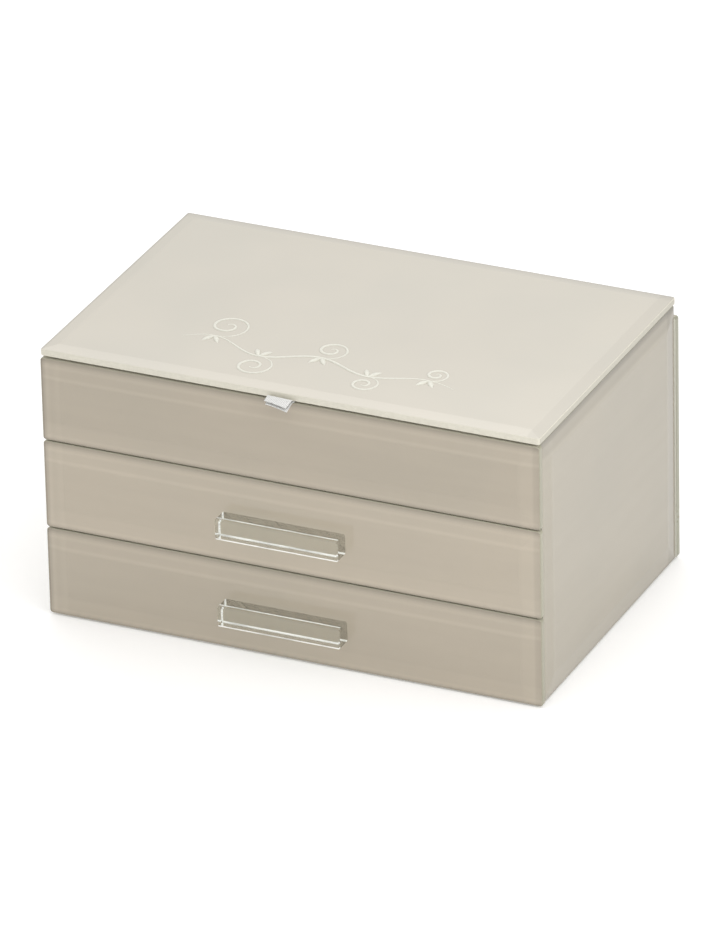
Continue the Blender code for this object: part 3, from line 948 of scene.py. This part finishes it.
def direction(azimuth, elevation):
    """The unit vector for two angles in degrees: azimuth turns from -Y, the front, towards +X."""
    a, e = math.radians(azimuth), math.radians(elevation)
    return Vector((math.sin(a) * math.cos(e), -math.cos(a) * math.cos(e), math.sin(e)))


def make_sky():
    """A white room with two soft lights: one behind the chest and one high on its right."""
    world = bpy.data.worlds.new("studio")
    world.use_nodes = True
    bpy.context.scene.world = world
    tree = world.node_tree
    background = tree.nodes["Background"]
    toward = tree.nodes.new("ShaderNodeTexCoord").outputs["Generated"]
    total = None
    for azimuth, elevation, tightness, power in LOBES:
        dot = tree.nodes.new("ShaderNodeVectorMath")
        dot.operation = "DOT_PRODUCT"
        tree.links.new(toward, dot.inputs[0])
        dot.inputs[1].default_value = direction(azimuth, elevation)
        values = dot.outputs["Value"]
        for operation, factor in (("MAXIMUM", 0.0), ("POWER", tightness), ("MULTIPLY", power)):
            step = tree.nodes.new("ShaderNodeMath")
            step.operation = operation
            tree.links.new(values, step.inputs[0])
            step.inputs[1].default_value = factor
            values = step.outputs[0]
        step = tree.nodes.new("ShaderNodeMath")
        tree.links.new(values, step.inputs[0])
        if total is None:
            step.inputs[1].default_value = SKY
        else:
            tree.links.new(total, step.inputs[1])
        total = step.outputs[0]
    tree.links.new(total, background.inputs["Strength"])
    background.inputs["Color"].default_value = SKY_COLOUR


def make_light(name, size, power, azimuth, elevation, distance):
    """A soft light that faces the chest, hidden from the camera."""
    light = bpy.data.lights.new(name, "AREA")
    light.shape = "RECTANGLE"
    light.size, light.size_y = size
    light.energy = power
    obj = bpy.data.objects.new(name, light)
    bpy.context.scene.collection.objects.link(obj)
    toward = direction(azimuth, elevation)
    obj.location = toward * distance
    obj.rotation_euler = toward.to_track_quat("Z", "Y").to_euler()
    obj.visible_camera = False


def make_camera():
    back = direction(CAMERA_AZIMUTH, CAMERA_ELEVATION)
    right = (-back).cross(Vector((0, 0, 1))).normalized()
    up = right.cross(-back)
    cos, sin = math.cos(CAMERA_ROLL), math.sin(CAMERA_ROLL)
    turned = Matrix((right * cos + up * sin, up * cos - right * sin, back)).transposed()
    data = bpy.data.cameras.new("camera")
    data.lens = CAMERA_LENS
    data.clip_start, data.clip_end = 0.1, 100
    camera = bpy.data.objects.new("camera", data)
    place = Matrix.Translation(CAMERA_TARGET + back * CAMERA_DISTANCE)
    camera.matrix_world = place @ turned.to_4x4()
    bpy.context.scene.collection.objects.link(camera)
    bpy.context.scene.camera = camera


def make_studio():
    make_floor()
    make_sky()
    for name, settings in LIGHTS.items():
        make_light(name, *settings)
    make_camera()
    bpy.context.scene.view_settings.view_transform = "Standard"


# ---------------------------------------------------------------- the whole


def dress_cad_nodes(by_slot):
    for node, obj in NODES.items():
        if node in FACES:
            dress(obj, painted_glass(node, *FACES[node]))
        else:
            dress(obj, by_slot[SLOT_OF[node]])
        if "divider" in node:
            round_edges(obj, DIVIDER_ROUNDING)


def main():
    by_slot = {
        "clear_glass": clear_glass(),
        "fibreboard": lacquered_board(),
        "velvet": velvet(),
        "base_felt": felt(),
        "ribbon": ribbon(),
        "mirror": silvered_mirror(),
        "hinge_metal": nickel(),
    }
    dress_cad_nodes(by_slot)
    make_handles(by_slot["clear_glass"], highlight_chamfers())
    make_pads(by_slot["velvet"])
    make_rolls(by_slot["velvet"])
    make_wall_linings(by_slot["velvet"])
    make_tab(by_slot["ribbon"])
    make_base_felt(by_slot["base_felt"])
    make_flourish(cream_ink())
    make_studio()


main()
